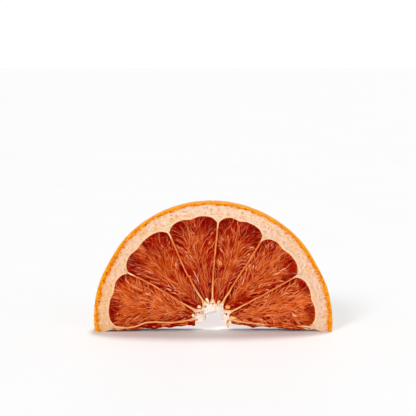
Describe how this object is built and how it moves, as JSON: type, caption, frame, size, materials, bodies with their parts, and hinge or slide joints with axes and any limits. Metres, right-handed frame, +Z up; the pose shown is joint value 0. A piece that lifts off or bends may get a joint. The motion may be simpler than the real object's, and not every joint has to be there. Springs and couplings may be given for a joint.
{
  "type": "dried grapefruit slice",
  "caption": "Half of a round grapefruit slice, dried with its rind on, standing upright on its arched cut edge.",
  "frame": {"origin": "centre of the box's base, on the surface that the slice stands on, below the fruit's axis", "axes": "+X along the cut edge, towards the right of the shown face; -Y out of the shown face; +Z up towards the top of the rind"},
  "size_m": [0.0962, 0.0086, 0.0525],
  "materials": {
    "dried_fruit": "moist-looking orange-red flesh with a satin gloss, in matte cream pith and satin orange rind"
  },
  "bodies": {
    "root": {"dried_grapefruit_slice": "dried_fruit"}
  },
  "joints": []
}
